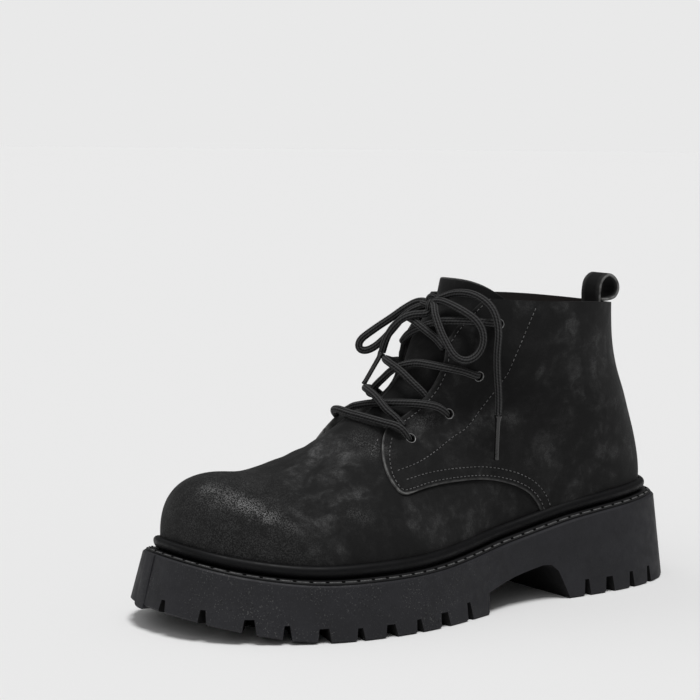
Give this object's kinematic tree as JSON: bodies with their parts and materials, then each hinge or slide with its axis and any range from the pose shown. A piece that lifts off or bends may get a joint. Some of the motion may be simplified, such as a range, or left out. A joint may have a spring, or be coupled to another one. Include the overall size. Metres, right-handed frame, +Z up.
{
  "type": "derby shoe",
  "caption": "Black nubuck lace-up ankle boot of the derby kind, for the left foot, with an open-laced tongue, a pull loop at the heel and a thick cleated rubber sole.",
  "frame": {"origin": "on the floor, under the middle of the bounding box of the shoe without its bow", "axes": "+X along the shoe towards the toe, +Y towards the outer side of the left foot, +Z up"},
  "size_m": [0.3028, 0.1191, 0.1601],
  "materials": {
    "sole_rubber": "matt, finely stippled",
    "welt_rubber": "matt",
    "rand_rubber": "smooth, satin",
    "nubuck": "brushed nubuck, mottled",
    "lining": "matt textile",
    "strap": "nubuck with pale cut edges",
    "lace": "round braided cord",
    "eyelet": "black, satin",
    "aglet": "glossy black"
  },
  "bodies": {
    "root": {"outsole": "sole_rubber", "welt": "welt_rubber", "rand": "rand_rubber", "insole": "lining", "upper": "nubuck", "tongue": "nubuck", "pull_loop": "strap", "eyelet_1_outer": "eyelet", "eyelet_1_inner": "eyelet", "eyelet_2_outer": "eyelet", "eyelet_2_inner": "eyelet", "eyelet_3_outer": "eyelet", "eyelet_3_inner": "eyelet", "eyelet_4_outer": "eyelet", "eyelet_4_inner": "eyelet", "lace_bar_1": "lace", "lace_cross_2": "lace", "lace_cross_3": "lace", "lace_cross_4": "lace", "lace_knot": "lace", "lace_loop_inner": "lace", "lace_loop_outer": "lace", "lace_end_inner": "lace", "lace_end_outer": "lace", "aglet_inner": "aglet", "aglet_outer": "aglet"}
  },
  "joints": []
}
